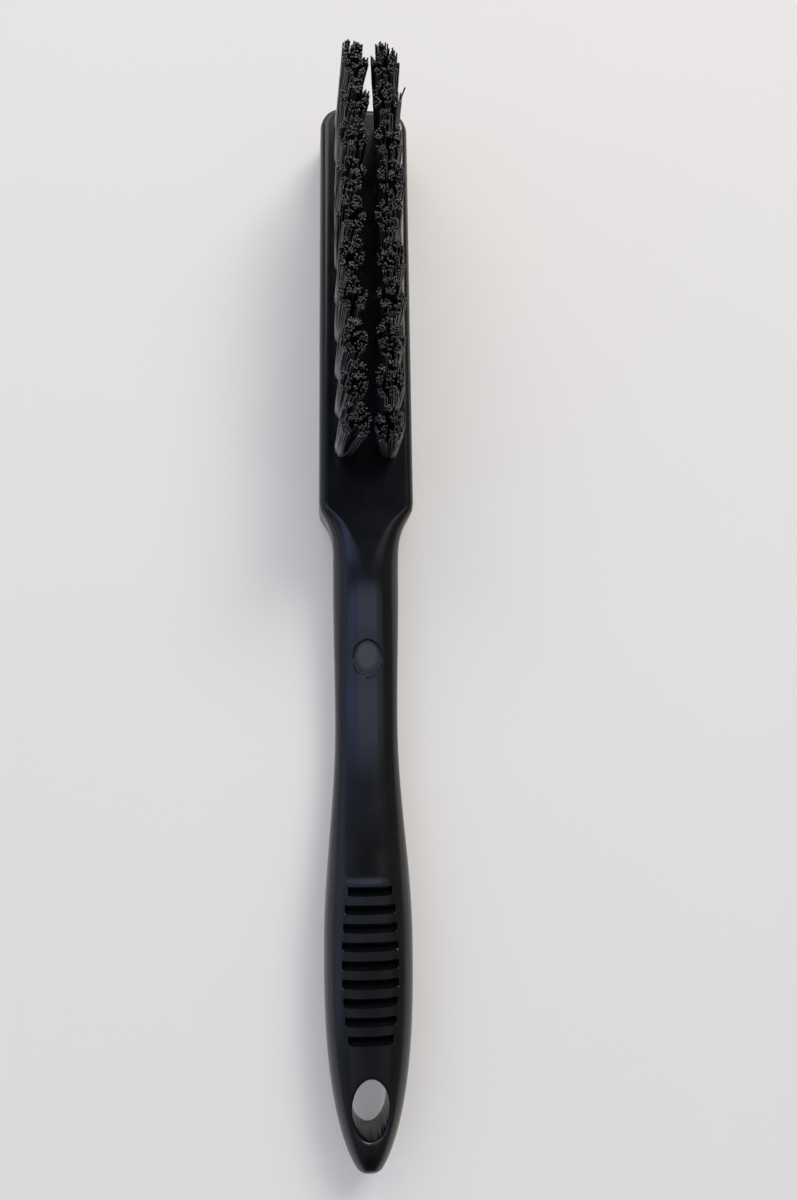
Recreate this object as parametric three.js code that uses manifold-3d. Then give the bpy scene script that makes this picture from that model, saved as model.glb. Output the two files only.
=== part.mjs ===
// Anti-static brush: a moulded plastic handle with two rows of bristle tufts in its head.
// Each tuft is a bundle of filaments folded over a flat metal anchor and driven into a blind hole.
// Millimetres, +Z up. The brush lies on its back with the bristles up and the head towards +Y.
// The origin is on the surface that the brush lies on, under the middle of its length.
import * as THREE from "three";
import { mergeGeometries, mergeVertices } from "three/addons/utils/BufferGeometryUtils.js";
import Module from "manifold-3d";

// Head: a flat bar with rounded edges that holds the tufts
const TOTAL_LENGTH = 225;
const HEAD_LENGTH = 93.8;
const HEAD_WIDTH = 20;
const HEAD_TAPER = 0.4; // how much narrower the head is at its end
const HEAD_THICKNESS = 12;
const HEAD_EDGE_RADIUS = 2;
const HEAD_CORNER_RADIUS = 5;

// Shoulder and neck: the flat face of the head runs out into a round neck
const SHOULDER_LENGTH = 9.7;
const SHOULDER_POWER = 2.6;
const RUNOUT_LENGTH = 14;
const RUNOUT_EASE = 0.35; // share of the run-out in which the flat face starts
const NECK_ROOT_WIDTH = 13.9;
const NECK_WIDTH = 13;
const NECK_THICKNESS = 9;
const NECK_LIFT = 0.8;
const NECK_PLACE = 0.57; // of the way from the widest point of the grip to the run-out
const DIP_PLACE = 0.62; // lowest place of the crest, measured the same way
const ROUND_STRIP = 1; // flat left along the crest, the belly and the sides of the round handle

// Grip and tail: the tail tapers in a full curve to a rounded nose
const GRIP_WIDTH = 17.7;
const GRIP_THICKNESS = 14;
const GRIP_FROM_TAIL = 43;
const CREST_FROM_GRIP = 13; // the slope up from the neck ends here
const TAIL_THICKNESS = 10.5;
const TAIL_LIFT = 0.4;
const TAIL_POWER = 2.6;
const TAIL_TAPER = 0.59;
const NOSE_POWER = 10;
const NOSE_CUT = 1;

// Thumb grooves across the crest of the grip: V-shaped, with their ends on an oval
const GROOVE_COUNT = 9;
const GROOVE_PITCH = 3.45;
const GROOVE_WIDTH = 1.8;
const GROOVE_DEPTH = 1.5;
const GROOVES_FROM_GRIP = -3.1;
const GROOVE_FIELD_WIDTH = 10.8;
const GROOVE_FIELD_LENGTH = 45.6;

// Hanging hole through the tail, and the plain oval recess on the neck
const HANG_HOLE_WIDTH = 7.2;
const HANG_HOLE_LENGTH = 11.4;
const HANG_HOLE_FROM_TAIL = 13.2;
const MARK_WIDTH = 6;
const MARK_LENGTH = 7.8;
const MARK_DEPTH = 0.55;
const MARK_FROM_NECK = 14.3;

// Tufts: the rows lean towards each other and fan out along the head
const ROW_SPACING = 9.4;
const TUFT_DIAMETER = 4.3;
const TUFT_PITCH = 8.4;
const FIRST_TUFT_FROM_END = 5.2;
const LAST_TUFT_FROM_SHOULDER = 12.5;
const TRIM_LENGTH = 19.4;
const TIP_WIDTH = 5.2;
const TIP_LENGTH = 7.2;
const TIP_GAP = 1.6;
const FAN_REACH = 1.1;
const STRANDS_PER_TUFT = 24;
const STRAND_RADIUS = 0.3;
const STRAND_TIP_RADIUS = 0.2;
const STRAND_SIDES = 3;

// The slice of the head's face that the strands of one row are rooted in
const SLICE_THICKNESS = 1;
const SLICE_BORDER = 0.5;

// Tuft holes, the folded roots in them and their anchors
const HOLE_FLOOR = 3;
const FOLD_THICKNESS = 1.2;
const ANCHOR_THICKNESS = 0.5;
const ANCHOR_HEIGHT = 2.2;
const ANCHOR_BITE = 0.5;
const CLEARANCE = 0.3;

// How finely the curves are faceted
const CORNER_STEPS = 5;
const TAIL_STEPS = 12;
const PAD_STEPS = 2;
const GRIP_STEPS = 7;
const NECK_STEPS = 5;
const SHOULDER_STEPS = 9;
const HEAD_CORNER_STEPS = 6;
const OVAL_STEPS = 14;
const GROOVE_STEPS = 6;
const TUFT_SIDES = 10;

// Places along the handle, measured from the tail end
const SHOULDER = TOTAL_LENGTH - HEAD_LENGTH;
const RUNOUT = SHOULDER - RUNOUT_LENGTH;
const NECK = GRIP_FROM_TAIL + (RUNOUT - GRIP_FROM_TAIL) * NECK_PLACE;
const DIP = GRIP_FROM_TAIL + (RUNOUT - GRIP_FROM_TAIL) * DIP_PLACE;
const CREST = GRIP_FROM_TAIL + CREST_FROM_GRIP;
const HEAD_CORNER = TOTAL_LENGTH - HEAD_CORNER_RADIUS;
const ABOVE = HEAD_THICKNESS + GRIP_THICKNESS; // clear of everything but the bristles

// Places of the tufts
const FIELD_ROOM = HEAD_LENGTH - FIRST_TUFT_FROM_END - LAST_TUFT_FROM_SHOULDER;
const TUFTS_PER_ROW = Math.floor(FIELD_ROOM / TUFT_PITCH) + 1;
const FIELD_LENGTH = (TUFTS_PER_ROW - 1) * TUFT_PITCH;
const FIELD_CENTRE = TOTAL_LENGTH / 2 - FIRST_TUFT_FROM_END - FIELD_LENGTH / 2;
const ROW_X = ROW_SPACING / 2;
const TIP_X = (TIP_GAP + TIP_WIDTH) / 2;
const LEAN = Math.atan2(ROW_X - TIP_X, TRIM_LENGTH);
const SLICE_WIDTH = TUFT_DIAMETER + 2 * SLICE_BORDER;
const SLICE_LENGTH = FIELD_LENGTH + SLICE_WIDTH;

const wasm = await Module();
wasm.setup();

const HANDLE_PLASTIC = new THREE.MeshStandardMaterial({ color: 0x1d1e20, roughness: 0.5, metalness: 0 });
const BRISTLE_NYLON = new THREE.MeshStandardMaterial({ color: 0x2b2c2e, roughness: 0.45, metalness: 0 });
const ANCHOR_STEEL = new THREE.MeshStandardMaterial({ color: 0xb9bcc0, roughness: 0.35, metalness: 1 });

const ROWS = [
  { name: "left", side: -1 },
  { name: "right", side: 1 },
];

function mix(from, to, share) {
  return from + (to - from) * share;
}

function smooth(share) {
  return share * share * (3 - 2 * share);
}

// From 0 to 1 in a straight line, after a rounded start
function gentle(share) {
  const bent = share < RUNOUT_EASE ? share ** 2 / (2 * RUNOUT_EASE) : share - RUNOUT_EASE / 2;
  return bent / (1 - RUNOUT_EASE / 2);
}

function toSolid(geometry) {
  const bare = geometry.clone();
  bare.deleteAttribute("normal");
  bare.deleteAttribute("uv");
  const merged = mergeVertices(bare, 1e-4);
  const vertProperties = new Float32Array(merged.attributes.position.array);
  const triVerts = new Uint32Array(merged.index.array);
  return new wasm.Manifold(new wasm.Mesh({ numProp: 3, vertProperties, triVerts }));
}

function toGeometry(solid) {
  const mesh = solid.getMesh();
  const geometry = new THREE.BufferGeometry();
  geometry.setAttribute("position", new THREE.BufferAttribute(mesh.vertProperties, 3));
  geometry.setIndex(new THREE.BufferAttribute(mesh.triVerts, 1));
  geometry.computeVertexNormals();
  return geometry;
}

function named(name, geometry, material) {
  const mesh = new THREE.Mesh(geometry, material);
  mesh.name = name;
  return mesh;
}

// A box given by its sizes, its middle in plan and the level of its lower face
function boxOn(width, length, height, x, y, bottom) {
  return new THREE.BoxGeometry(width, length, height).translate(x, y, bottom + height / 2);
}

// An upright cylinder between two levels
function cylinderOn(radius, bottom, top, sides) {
  const geometry = new THREE.CylinderGeometry(radius, radius, top - bottom, sides);
  return geometry.rotateX(Math.PI / 2).translate(0, 0, (top + bottom) / 2);
}

// An upright oval prism whose lower face is in the plane of the origin
function ovalPrism(width, length, height) {
  const outline = new THREE.Shape();
  outline.absellipse(0, 0, width / 2, length / 2, 0, 2 * Math.PI);
  const options = { depth: height, bevelEnabled: false, curveSegments: OVAL_STEPS };
  return new THREE.ExtrudeGeometry(outline, options);
}

// Corner radii of a round section, which leave a narrow flat strip on each side
function roundSection(half, bottom, top) {
  const halfHeight = (top - bottom) / 2;
  const cornerX = half - Math.min(ROUND_STRIP, half) / 2;
  const cornerZ = halfHeight - Math.min(ROUND_STRIP, halfHeight) / 2;
  return { half, bottom, top, cornerX, cornerZ };
}

function tailSection(fromTail) {
  const reach = (GRIP_FROM_TAIL - fromTail) / (GRIP_FROM_TAIL + NOSE_CUT);
  const half = (GRIP_WIDTH / 2) * (1 - reach ** TAIL_POWER) ** TAIL_TAPER;
  const middle = mix(GRIP_THICKNESS / 2, TAIL_LIFT + TAIL_THICKNESS / 2, reach ** 2);
  const nose = Math.sqrt(1 - reach ** NOSE_POWER);
  const halfHeight = (mix(GRIP_THICKNESS, TAIL_THICKNESS, reach ** 2) / 2) * nose;
  return roundSection(half, middle - halfHeight, middle + halfHeight);
}

// The crest is level over the grip, falls in a hollow slope to the dip and rises to the head
function crestLevel(fromTail) {
  const climb = Math.min(1, Math.max(0, DIP - fromTail) / (DIP - CREST));
  const low = mix(NECK_LIFT + NECK_THICKNESS, GRIP_THICKNESS, climb ** 2);
  return mix(low, HEAD_THICKNESS, smooth(Math.max(0, fromTail - DIP) / (RUNOUT - DIP)));
}

function gripSection(fromTail) {
  const share = smooth((fromTail - GRIP_FROM_TAIL) / (NECK - GRIP_FROM_TAIL));
  const half = mix(GRIP_WIDTH, NECK_WIDTH, share) / 2;
  const bottom = mix(0, NECK_LIFT, share);
  return roundSection(half, bottom, crestLevel(fromTail));
}

function neckSection(fromTail) {
  const share = smooth((fromTail - NECK) / (RUNOUT - NECK));
  const half = mix(NECK_WIDTH, NECK_ROOT_WIDTH, share) / 2;
  const bottom = mix(NECK_LIFT, 0, share);
  return roundSection(half, bottom, crestLevel(fromTail));
}

// The width swells in a hollow curve while the corners tighten to the head's edges
function shoulderSection(fromTail) {
  const swell = Math.max(0, 1 - (SHOULDER - fromTail) / SHOULDER_LENGTH) ** SHOULDER_POWER;
  const half = mix(NECK_ROOT_WIDTH, HEAD_WIDTH, swell) / 2;
  const round = roundSection(half, 0, HEAD_THICKNESS);
  const share = gentle((fromTail - RUNOUT) / RUNOUT_LENGTH);
  const cornerX = mix(round.cornerX, HEAD_EDGE_RADIUS, share);
  const cornerZ = mix(round.cornerZ, HEAD_EDGE_RADIUS, share);
  return { ...round, cornerX, cornerZ };
}

// The end of the head is rounded in plan and along its upper and lower edges
function headSection(fromTail) {
  const share = Math.min(1, (fromTail - SHOULDER) / (HEAD_CORNER - SHOULDER));
  const intoCorner = Math.max(0, fromTail - HEAD_CORNER);
  const intoEdge = Math.max(0, fromTail - (TOTAL_LENGTH - HEAD_EDGE_RADIUS));
  const inset = HEAD_CORNER_RADIUS - Math.sqrt(HEAD_CORNER_RADIUS ** 2 - intoCorner ** 2);
  const drop = HEAD_EDGE_RADIUS - Math.sqrt(HEAD_EDGE_RADIUS ** 2 - intoEdge ** 2);
  const half = (HEAD_WIDTH - HEAD_TAPER * share) / 2 - inset;
  const bottom = drop;
  const top = HEAD_THICKNESS - drop;
  return { half, bottom, top, cornerX: HEAD_EDGE_RADIUS, cornerZ: HEAD_EDGE_RADIUS };
}

function handleSection(fromTail) {
  if (fromTail < GRIP_FROM_TAIL) return tailSection(fromTail);
  if (fromTail < NECK) return gripSection(fromTail);
  if (fromTail < RUNOUT) return neckSection(fromTail);
  if (fromTail < SHOULDER) return shoulderSection(fromTail);
  return headSection(fromTail);
}

// Distances from the tail at which the handle has a ring of points, closer where it curves
function handleStations() {
  const stations = [];
  const noseAngle = Math.asin(GRIP_FROM_TAIL / (GRIP_FROM_TAIL + NOSE_CUT));
  for (let i = TAIL_STEPS; i > 0; i -= 1) {
    const along = Math.sin((noseAngle * i) / TAIL_STEPS) * (GRIP_FROM_TAIL + NOSE_CUT);
    stations.push(GRIP_FROM_TAIL - along);
  }
  const spans = [
    [GRIP_FROM_TAIL, CREST, PAD_STEPS],
    [CREST, NECK, GRIP_STEPS],
    [NECK, RUNOUT, NECK_STEPS],
    [RUNOUT, SHOULDER, SHOULDER_STEPS],
  ];
  for (const [start, end, steps] of spans) {
    for (let i = 0; i < steps; i += 1) stations.push(mix(start, end, i / steps));
  }
  stations.push(SHOULDER);
  for (let i = 0; i <= HEAD_CORNER_STEPS; i += 1) {
    const angle = (Math.PI / 2) * (i / HEAD_CORNER_STEPS);
    stations.push(HEAD_CORNER + HEAD_CORNER_RADIUS * Math.sin(angle));
  }
  return stations;
}

// Points round one section, from its right side over the top
function sectionRing(fromTail) {
  const { half, bottom, top, cornerX, cornerZ } = handleSection(fromTail);
  const corners = [
    { x: half - cornerX, z: top - cornerZ },
    { x: cornerX - half, z: top - cornerZ },
    { x: cornerX - half, z: bottom + cornerZ },
    { x: half - cornerX, z: bottom + cornerZ },
  ];
  const ring = [];
  corners.forEach((corner, quarter) => {
    for (let i = 0; i <= CORNER_STEPS; i += 1) {
      const angle = (Math.PI / 2) * (quarter + i / CORNER_STEPS);
      const x = corner.x + cornerX * Math.cos(angle);
      const z = corner.z + cornerZ * Math.sin(angle);
      ring.push(new THREE.Vector3(x, fromTail - TOTAL_LENGTH / 2, z));
    }
  });
  return ring;
}

// A closed skin over rings of equal count, with a fan on each end
function loft(rings) {
  const count = rings[0].length;
  const points = rings.flat();
  const index = [];
  for (let j = 0; j < rings.length - 1; j += 1) {
    for (let i = 0; i < count; i += 1) {
      const a = j * count + i;
      const b = j * count + ((i + 1) % count);
      index.push(a, a + count, b, b, a + count, b + count);
    }
  }
  const last = (rings.length - 1) * count;
  for (let i = 1; i < count - 1; i += 1) {
    index.push(0, i, i + 1);
    index.push(last, last + i + 1, last + i);
  }
  const geometry = new THREE.BufferGeometry().setFromPoints(points);
  geometry.setIndex(index);
  return geometry;
}

// Level of the handle's upper skin at a distance from its centre line
function skinLevel(section, x) {
  const out = Math.max(0, Math.abs(x) - section.half + section.cornerX) / section.cornerX;
  return section.top - section.cornerZ * (1 - Math.sqrt(1 - out ** 2));
}

// A wedge that cuts one groove, with its edge at an even depth under the curved skin
function grooveCutter(fromMiddle) {
  const place = GRIP_FROM_TAIL + GROOVES_FROM_GRIP + fromMiddle;
  const section = handleSection(place);
  const y = place - TOTAL_LENGTH / 2;
  const reach = (GROOVE_FIELD_WIDTH / 2) * Math.sqrt(1 - (2 * fromMiddle / GROOVE_FIELD_LENGTH) ** 2);
  const rings = [];
  for (let i = 0; i <= GROOVE_STEPS; i += 1) {
    const x = mix(-reach, reach, i / GROOVE_STEPS);
    const level = skinLevel(section, x);
    const back = new THREE.Vector3(x, y + GROOVE_WIDTH, level + GROOVE_DEPTH);
    const edge = new THREE.Vector3(x, y, level - GROOVE_DEPTH);
    const front = new THREE.Vector3(x, y - GROOVE_WIDTH, level + GROOVE_DEPTH);
    rings.push([back, edge, front]);
  }
  return loft(rings);
}

function grooveCutters() {
  const cutters = [];
  for (let i = 0; i < GROOVE_COUNT; i += 1) {
    cutters.push(grooveCutter((i - (GROOVE_COUNT - 1) / 2) * GROOVE_PITCH));
  }
  return cutters;
}

function hangHoleCutter() {
  const cutter = ovalPrism(HANG_HOLE_WIDTH, HANG_HOLE_LENGTH, 2 * ABOVE);
  return cutter.translate(0, HANG_HOLE_FROM_TAIL - TOTAL_LENGTH / 2, -ABOVE);
}

// The floor of the mark follows the slope of the crest
function markCutter() {
  const place = NECK + MARK_FROM_NECK;
  const low = handleSection(place - MARK_LENGTH / 2).top;
  const high = handleSection(place + MARK_LENGTH / 2).top;
  const cutter = ovalPrism(MARK_WIDTH, MARK_LENGTH, ABOVE);
  cutter.rotateX(Math.atan2(high - low, MARK_LENGTH));
  return cutter.translate(0, place - TOTAL_LENGTH / 2, mix(low, high, 0.5) - MARK_DEPTH);
}

// Levels along the axis of a tuft hole, from the face of the head downwards
const ROOT_RADIUS = TUFT_DIAMETER / 2 - CLEARANCE;
const HOLE_BOTTOM = -(HEAD_THICKNESS - HOLE_FLOOR) / Math.cos(LEAN);
const ROOT_BOTTOM = HOLE_BOTTOM + CLEARANCE;
const ROOT_TOP = -(SLICE_THICKNESS + CLEARANCE) / Math.cos(LEAN) - ROOT_RADIUS * Math.tan(LEAN);
const ANCHOR_BOTTOM = ROOT_BOTTOM + FOLD_THICKNESS + CLEARANCE;
const ANCHOR_LENGTH = TUFT_DIAMETER + 2 * ANCHOR_BITE;
const SLOT_WIDTH = ANCHOR_THICKNESS + 2 * CLEARANCE;

// A group whose z axis is the axis of one tuft hole, with its origin in the face of the head
function tuftGroup(side, number) {
  const group = new THREE.Group();
  const y = FIELD_CENTRE + FIELD_LENGTH / 2 - number * TUFT_PITCH;
  group.position.set(side * ROW_X, y, HEAD_THICKNESS);
  group.rotation.y = -side * LEAN;
  group.updateMatrix();
  return group;
}

// One blind hole, with the scars that the ends of the anchor cut into its wall on the way down
function tuftHoleCutters(side, number) {
  const bore = cylinderOn(TUFT_DIAMETER / 2, HOLE_BOTTOM, SLICE_THICKNESS, TUFT_SIDES);
  const scarBottom = ANCHOR_BOTTOM - CLEARANCE;
  const scarLength = ANCHOR_LENGTH + 2 * CLEARANCE;
  const scar = boxOn(SLOT_WIDTH, scarLength, -scarBottom - SLICE_THICKNESS / 2, 0, 0, scarBottom);
  const matrix = tuftGroup(side, number).matrix;
  return [bore.applyMatrix4(matrix), scar.applyMatrix4(matrix)];
}

function sliceCutter(side) {
  const width = SLICE_WIDTH + 2 * CLEARANCE;
  const length = SLICE_LENGTH + 2 * CLEARANCE;
  return boxOn(width, length, ABOVE, side * ROW_X, FIELD_CENTRE, HEAD_THICKNESS - SLICE_THICKNESS);
}

function handleBody() {
  const cutters = [...grooveCutters(), hangHoleCutter(), markCutter()];
  for (const { side } of ROWS) {
    cutters.push(sliceCutter(side));
    for (let number = 0; number < TUFTS_PER_ROW; number += 1) {
      cutters.push(...tuftHoleCutters(side, number));
    }
  }
  let solid = toSolid(loft(handleStations().map(sectionRing)));
  for (const cutter of cutters) solid = solid.subtract(toSolid(cutter));
  return named("handle_body", toGeometry(solid), HANDLE_PLASTIC);
}

// A tapered strand with a few sides from one point to another
function strand(base, tip) {
  const rings = [
    [base, STRAND_RADIUS],
    [tip, STRAND_TIP_RADIUS],
  ].map(([centre, radius]) => {
    const ring = [];
    for (let i = 0; i < STRAND_SIDES; i += 1) {
      const angle = (-2 * Math.PI * i) / STRAND_SIDES;
      const offset = new THREE.Vector3(Math.cos(angle), Math.sin(angle), 0);
      ring.push(offset.multiplyScalar(radius).add(centre));
    }
    return ring;
  });
  return loft(rings);
}

// Strands of one tuft, spread like the seeds of a sunflower, from the face to the trimmed tips
function tuftStrands(side, number) {
  const goldenAngle = Math.PI * (3 - Math.sqrt(5));
  const fromCentre = FIELD_LENGTH / 2 - number * TUFT_PITCH;
  const fan = 1 + (2 * FAN_REACH) / FIELD_LENGTH;
  const strands = [];
  for (let i = 0; i < STRANDS_PER_TUFT; i += 1) {
    const spread = Math.sqrt((i + 0.5) / STRANDS_PER_TUFT);
    const x = spread * Math.cos(i * goldenAngle);
    const y = spread * Math.sin(i * goldenAngle);
    const rootSpan = TUFT_DIAMETER / 2 - STRAND_RADIUS;
    const base = new THREE.Vector3(
      side * ROW_X + x * rootSpan,
      FIELD_CENTRE + fromCentre + y * rootSpan,
      HEAD_THICKNESS - SLICE_THICKNESS / 2,
    );
    const tip = new THREE.Vector3(
      side * TIP_X + x * (TIP_WIDTH / 2 - STRAND_TIP_RADIUS),
      FIELD_CENTRE + fromCentre * fan + y * (TIP_LENGTH / 2 - STRAND_TIP_RADIUS),
      HEAD_THICKNESS + TRIM_LENGTH,
    );
    strands.push(strand(base, tip));
  }
  return strands;
}

function bristleRow(row) {
  const strands = [];
  for (let number = 0; number < TUFTS_PER_ROW; number += 1) {
    strands.push(...tuftStrands(row.side, number));
  }
  const sliceBottom = HEAD_THICKNESS - SLICE_THICKNESS;
  const slice = boxOn(
    SLICE_WIDTH,
    SLICE_LENGTH,
    SLICE_THICKNESS,
    row.side * ROW_X,
    FIELD_CENTRE,
    sliceBottom,
  );
  const solid = toSolid(slice).add(toSolid(mergeGeometries(strands)));
  return named(`bristle_row_${row.name}`, toGeometry(solid), BRISTLE_NYLON);
}

// The part of a tuft that sits in its hole, with the slot that the anchor lies in
function tuftRoot() {
  const bundle = cylinderOn(ROOT_RADIUS, ROOT_BOTTOM, ROOT_TOP, TUFT_SIDES);
  const slotHeight = ANCHOR_HEIGHT + 2 * CLEARANCE;
  const slot = boxOn(SLOT_WIDTH, 2 * TUFT_DIAMETER, slotHeight, 0, 0, ANCHOR_BOTTOM - CLEARANCE);
  return toGeometry(toSolid(bundle).subtract(toSolid(slot)));
}

function anchor() {
  return boxOn(ANCHOR_THICKNESS, ANCHOR_LENGTH, ANCHOR_HEIGHT, 0, 0, ANCHOR_BOTTOM);
}

const brush = new THREE.Group();
brush.name = "anti_static_brush";
brush.add(handleBody());
for (const row of ROWS) {
  brush.add(bristleRow(row));
  for (let number = 0; number < TUFTS_PER_ROW; number += 1) {
    const group = tuftGroup(row.side, number);
    group.add(named(`tuft_root_${row.name}_${number + 1}`, tuftRoot(), BRISTLE_NYLON));
    group.add(named(`tuft_anchor_${row.name}_${number + 1}`, anchor(), ANCHOR_STEEL));
    brush.add(group);
  }
}

export default brush;
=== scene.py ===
# %% [markdown]
# # An anti-static hand brush
# The real brush is two kinds of thing. Its handle is one black moulding, of a plastic that is
# filled with carbon so that it leads charge away. Twenty tufts of conductive filament are folded
# in two and punched into the head, and a scrap of flat steel wire holds each fold in its hole.
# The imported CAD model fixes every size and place. This lesson loads it as a fixed frame and makes
# again, much finer, what the eye sees.

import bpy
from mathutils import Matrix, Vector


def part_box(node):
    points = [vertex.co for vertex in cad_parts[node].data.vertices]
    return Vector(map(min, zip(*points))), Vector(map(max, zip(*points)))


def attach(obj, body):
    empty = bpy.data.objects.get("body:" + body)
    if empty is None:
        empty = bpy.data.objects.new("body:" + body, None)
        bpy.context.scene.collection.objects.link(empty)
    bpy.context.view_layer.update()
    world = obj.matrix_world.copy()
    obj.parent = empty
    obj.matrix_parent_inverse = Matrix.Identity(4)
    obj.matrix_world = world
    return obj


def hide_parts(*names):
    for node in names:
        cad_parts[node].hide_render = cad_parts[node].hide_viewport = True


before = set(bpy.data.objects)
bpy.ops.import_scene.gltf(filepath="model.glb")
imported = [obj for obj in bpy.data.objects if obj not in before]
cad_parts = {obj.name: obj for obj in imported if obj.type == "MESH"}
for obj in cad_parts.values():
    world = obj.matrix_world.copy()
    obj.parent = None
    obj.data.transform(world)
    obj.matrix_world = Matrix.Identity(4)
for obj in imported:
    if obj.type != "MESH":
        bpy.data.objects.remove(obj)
print(len(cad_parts), "CAD nodes loaded")

# %% Tools, and the box of the CAD model
import math

import bmesh
import bpy
import numpy as np
from mathutils import Matrix, Vector

MM = 0.001
scene = bpy.context.scene
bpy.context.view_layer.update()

# %% [markdown]
# ## Camera
# The picture was taken with a phone held about 20 cm over the table. It was a little to the left of
# the brush, over its neck, and tilted towards the head. A phone sees wide, so a short lens is right:
# the tall bristles then lean away from the middle of the picture, as they do in the photo. The
# camera is turned and not shifted, so that it also frames the brush well from any other side.

# %% Place the camera
LENS = 27  # mm, before a sensor 36 mm long
CAMERA_PLACE = Vector((-12.3, -30.1, 195.9))  # mm
CAMERA_TURN = (9.06, -5.7, -0.72)  # degrees about x, y and z
NEAREST = 10  # mm

camera = bpy.data.objects.new("camera", bpy.data.cameras.new("phone_lens"))
camera.data.lens = LENS
camera.data.clip_start = NEAREST * MM
camera.location = CAMERA_PLACE * MM
camera.rotation_euler = [math.radians(angle) for angle in CAMERA_TURN]
scene.collection.objects.link(camera)
scene.camera = camera
scene.view_settings.view_transform = "Standard"
print("camera", round(CAMERA_PLACE.z), "mm above the table, lens", LENS, "mm")

# %% [markdown]
# ## Colours and nodes
# Colours are written as the sRGB hex values that a colour picker shows. Blender's shaders count in
# linear light, so one function turns the one into the other. A second function adds a node to a
# material: its settings by name, and its inputs either as plain values or as links.

# %% Helpers for every material
def linear(hex_code):
    """Linear RGBA of an sRGB colour such as #1a1b1e."""
    channels = [int(hex_code[place:place + 2], 16) / 255 for place in (1, 3, 5)]
    light = [c / 12.92 if c <= 0.04045 else ((c + 0.055) / 1.055) ** 2.4 for c in channels]
    return (*light, 1.0)


def add(tree, kind, inputs=None, **settings):
    """A new shader node. An input that is a socket is linked, and any other value is set."""
    node = tree.nodes.new("ShaderNode" + kind)
    for name, value in settings.items():
        setattr(node, name, value)
    for name, value in (inputs or {}).items():
        if isinstance(value, bpy.types.NodeSocket):
            tree.links.new(value, node.inputs[name])
        else:
            node.inputs[name].default_value = value
    return node


def new_material(name):
    """An empty node material, its node tree and its output node."""
    material = bpy.data.materials.new(name)
    material.use_nodes = True
    material.node_tree.nodes.clear()
    return material, material.node_tree, add(material.node_tree, "OutputMaterial")


def per_metre(size_mm):
    """Scale of a texture whose features are this many millimetres across."""
    return 1 / (size_mm * MM)


print("a mid grey, #808080, is", round(linear("#808080")[0], 3), "in linear light")

# %% [markdown]
# ## Handle material: polypropylene filled with carbon black, injection moulded
# Carbon black makes the plastic conductive and also nearly black all through. A steel mould with a
# fine eroded finish leaves a satin skin, with a grain of about a tenth of a millimetre. It gives the
# eye soft wide reflections instead of mirror ones. Clouds of slightly different gloss, where the
# melt flowed, and hairline scuffs keep it from looking like paint. A picture of worn plastic could be
# wrapped round the handle, but noise worked out in millimetres has no seams and needs no file. The
# floor of the mark on the neck is painted paler, a painted reflection of the light that it mirrors:
# a round gradient, stretched to its oval, says where.

# %% Carbon-filled polypropylene
PLASTIC_IOR = 1.49
MOULD_GRAIN = 0.22  # mm; the real grain is about half that, too fine to show at this distance
GRAIN_DEPTH = 0.02  # mm
GRAIN_STRENGTH = 0.25
FLOW_CLOUD = 7  # mm
CLOUD_RANGE = (0.3, 0.7)  # values of the noise between which the clouds change
SATIN = (0.18, 0.24)  # roughness from one cloud to the next
SCUFF_WIDTH = 0.25  # mm; real hairlines are finer still
SCUFF_STRETCH = 0.04  # share of the width's scale along the scuff
SCUFF_TURN = (0.2, 0.1, 0.5)  # radians, so that the scuffs run slantwise
SCUFF_RANGE = (0.66, 0.78)  # only the highest values of the noise are scuffs
SCUFF_ROUGHNESS = 0.08  # what a scuff adds
PAINTED_REFLECTION_MIDDLE = (0, -12.1, 10)  # mm; middle of the painted reflection on the pale floor of the mark on the neck
PAINTED_REFLECTION_SIZE = (2.7, 3.6, 9)  # mm, half across, half along and upwards
PAINTED_REFLECTION_EDGE = (0.05, 0.4)  # painted reflection from black to pale, as shares of the way in from its rim

moulded_plastic, tree, output = new_material("carbon_filled_polypropylene_moulded")
place = add(tree, "TexCoord")
cloud = add(tree, "TexNoise", {
    "Vector": place.outputs["Object"], "Scale": per_metre(FLOW_CLOUD), "Detail": 3,
})
grain = add(tree, "TexNoise", {
    "Vector": place.outputs["Object"], "Scale": per_metre(MOULD_GRAIN), "Detail": 2,
})
slanted = add(tree, "Mapping", {
    "Vector": place.outputs["Object"],
    "Rotation": SCUFF_TURN,
    "Scale": (1, SCUFF_STRETCH, 1),
})
hairs = add(tree, "TexNoise", {
    "Vector": slanted.outputs["Vector"], "Scale": per_metre(SCUFF_WIDTH), "Detail": 1,
})
scuffs = add(tree, "MapRange", {
    "Value": hairs.outputs["Fac"], "From Min": SCUFF_RANGE[0], "From Max": SCUFF_RANGE[1],
})
# Painted reflection: a pale round gradient on the floor of the mark stands in for the light it
# mirrors.
mark_place = add(tree, "Mapping", {
    "Vector": place.outputs["Object"],
    "Location": [-middle / size for middle, size in zip(PAINTED_REFLECTION_MIDDLE, PAINTED_REFLECTION_SIZE)],
    "Scale": [per_metre(size) for size in PAINTED_REFLECTION_SIZE],
})
mark_middle = add(
    tree, "TexGradient", {"Vector": mark_place.outputs["Vector"]}, gradient_type="SPHERICAL",
)
painted_reflection = add(tree, "MapRange", {
    "Value": mark_middle.outputs["Fac"], "From Min": PAINTED_REFLECTION_EDGE[0], "From Max": PAINTED_REFLECTION_EDGE[1],
})
tint = add(tree, "ValToRGB", {"Fac": cloud.outputs["Fac"]})
tint.color_ramp.elements[0].position = CLOUD_RANGE[0]
tint.color_ramp.elements[0].color = linear("#060709")
tint.color_ramp.elements[1].position = CLOUD_RANGE[1]
tint.color_ramp.elements[1].color = linear("#090a0d")
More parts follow.
